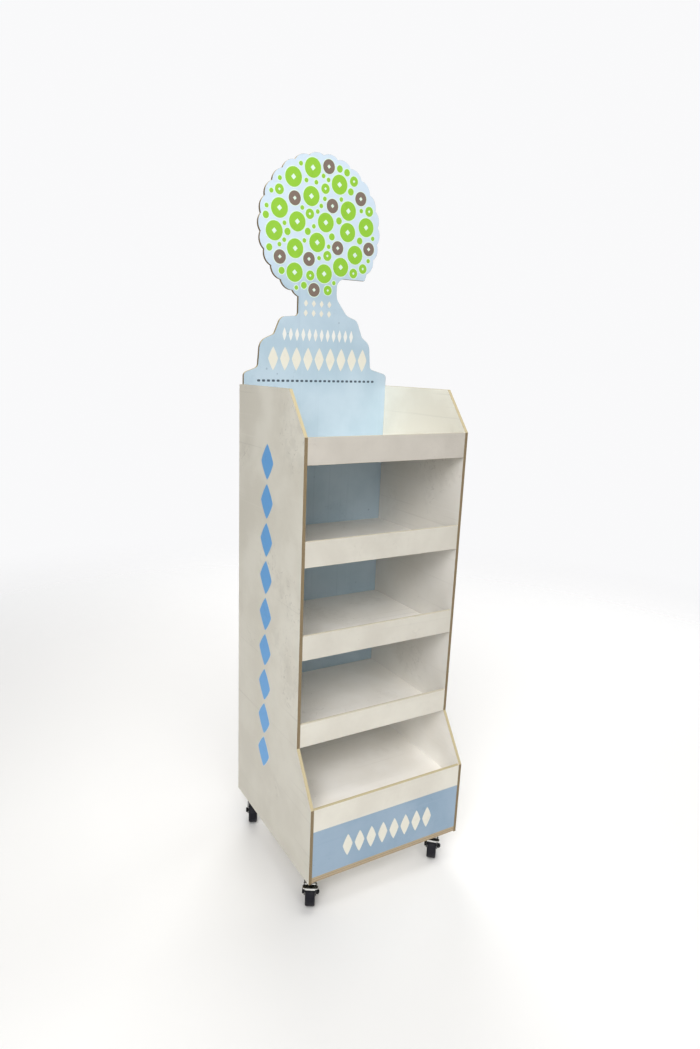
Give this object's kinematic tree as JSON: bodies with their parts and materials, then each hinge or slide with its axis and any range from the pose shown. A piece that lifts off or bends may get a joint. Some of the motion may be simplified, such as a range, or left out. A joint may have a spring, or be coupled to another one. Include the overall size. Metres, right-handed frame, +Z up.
{
  "type": "display stand",
  "caption": "Floor display stand of thin boards with a bin, open shelves with upright lips, a tray and a scalloped header, on swivel castors.",
  "frame": {"origin": "on the floor, under the middle of the case", "axes": "+Z up, -Y towards the front, where the lips and the bin are, +X to the right as seen from the front"},
  "size_m": [0.5189, 0.5006, 2.0258],
  "materials": {
    "board_laminate": "whitewashed wood-grain print, matt, with raw tan edges",
    "board_blue": "pale blue print, matt, with raw edges",
    "board_raw": "raw board",
    "castor_steel": "zinc plated, dulled",
    "castor_black": "black lacquer, satin",
    "fastener_steel": "zinc plated",
    "brake_chrome": "bright",
    "castor_tyre": "matt, near black",
    "castor_hub": "matt, near black"
  },
  "bodies": {
    "stand": {"side_panel_left": "board_laminate", "side_panel_right": "board_laminate", "top_tray_floor": "board_laminate", "top_fascia": "board_laminate", "bin_floor": "board_laminate", "front_panel": "board_laminate", "shelf_lower": "board_laminate", "lip_lower": "board_laminate", "shelf_middle": "board_laminate", "lip_middle": "board_laminate", "shelf_upper": "board_laminate", "lip_upper": "board_laminate", "back_panel": "board_blue", "base_board": "board_raw", "castor_front_left_plate": "castor_steel", "castor_front_left_kingpin": "castor_steel", "castor_front_left_plate_screws": "fastener_steel", "castor_front_right_plate": "castor_steel", "castor_front_right_kingpin": "castor_steel", "castor_front_right_plate_screws": "fastener_steel", "castor_back_left_plate": "castor_steel", "castor_back_left_kingpin": "castor_steel", "castor_back_left_plate_screws": "fastener_steel", "castor_back_right_plate": "castor_steel", "castor_back_right_kingpin": "castor_steel", "castor_back_right_plate_screws": "fastener_steel"},
    "fork_front_left": {"castor_front_left_fork": "castor_black", "castor_front_left_axle_bolt": "castor_black", "castor_front_left_axle_nut": "castor_black", "castor_front_left_brake_pin": "fastener_steel"},
    "wheel_front_left": {"castor_front_left_tyre": "castor_tyre", "castor_front_left_hub": "castor_hub"},
    "pedal_front_left": {"castor_front_left_brake_pedal": "brake_chrome"},
    "fork_front_right": {"castor_front_right_fork": "castor_black", "castor_front_right_axle_bolt": "castor_black", "castor_front_right_axle_nut": "castor_black", "castor_front_right_brake_pin": "fastener_steel"},
    "wheel_front_right": {"castor_front_right_tyre": "castor_tyre", "castor_front_right_hub": "castor_hub"},
    "pedal_front_right": {"castor_front_right_brake_pedal": "brake_chrome"},
    "fork_back_left": {"castor_back_left_fork": "castor_black", "castor_back_left_axle_bolt": "castor_black", "castor_back_left_axle_nut": "castor_black"},
    "wheel_back_left": {"castor_back_left_tyre": "castor_tyre", "castor_back_left_hub": "castor_hub"},
    "fork_back_right": {"castor_back_right_fork": "castor_black", "castor_back_right_axle_bolt": "castor_black", "castor_back_right_axle_nut": "castor_black"},
    "wheel_back_right": {"castor_back_right_tyre": "castor_tyre", "castor_back_right_hub": "castor_hub"}
  },
  "joints": [
    {"name": "swivel_front_left", "type": "hinge", "parent": "stand", "child": "fork_front_left", "pos_m": [-0.2145, -0.186, 0.09], "axis": [0, 0, 1], "continuous": true},
    {"name": "roll_front_left", "type": "hinge", "parent": "fork_front_left", "child": "wheel_front_left", "pos_m": [-0.22696, -0.20767, 0.0375], "axis": [0.8669, -0.4985, 0], "continuous": true},
    {"name": "brake_front_left", "type": "hinge", "parent": "fork_front_left", "child": "pedal_front_left", "pos_m": [-0.23743, -0.22588, 0.0777], "axis": [0.8669, -0.4985, 0], "range_deg": [0, 18]},
    {"name": "swivel_front_right", "type": "hinge", "parent": "stand", "child": "fork_front_right", "pos_m": [0.2145, -0.186, 0.09], "axis": [0, 0, 1], "continuous": true},
    {"name": "roll_front_right", "type": "hinge", "parent": "fork_front_right", "child": "wheel_front_right", "pos_m": [0.1979, -0.20469, 0.0375], "axis": [0.7478, -0.6639, 0], "continuous": true},
    {"name": "brake_front_right", "type": "hinge", "parent": "fork_front_right", "child": "pedal_front_right", "pos_m": [0.18396, -0.2204, 0.0777], "axis": [0.7478, -0.6639, 0], "range_deg": [0, 18]},
    {"name": "swivel_back_left", "type": "hinge", "parent": "stand", "child": "fork_back_left", "pos_m": [-0.2145, 0.209, 0.09], "axis": [0, 0, 1], "continuous": true},
    {"name": "roll_back_left", "type": "hinge", "parent": "fork_back_left", "child": "wheel_back_left", "pos_m": [-0.22467, 0.18616, 0.0375], "axis": [0.9135, -0.4067, 0], "continuous": true},
    {"name": "swivel_back_right", "type": "hinge", "parent": "stand", "child": "fork_back_right", "pos_m": [0.2145, 0.209, 0.09], "axis": [0, 0, 1], "continuous": true},
    {"name": "roll_back_right", "type": "hinge", "parent": "fork_back_right", "child": "wheel_back_right", "pos_m": [0.20088, 0.18803, 0.0375], "axis": [0.8387, -0.5446, 0], "continuous": true}
  ]
}
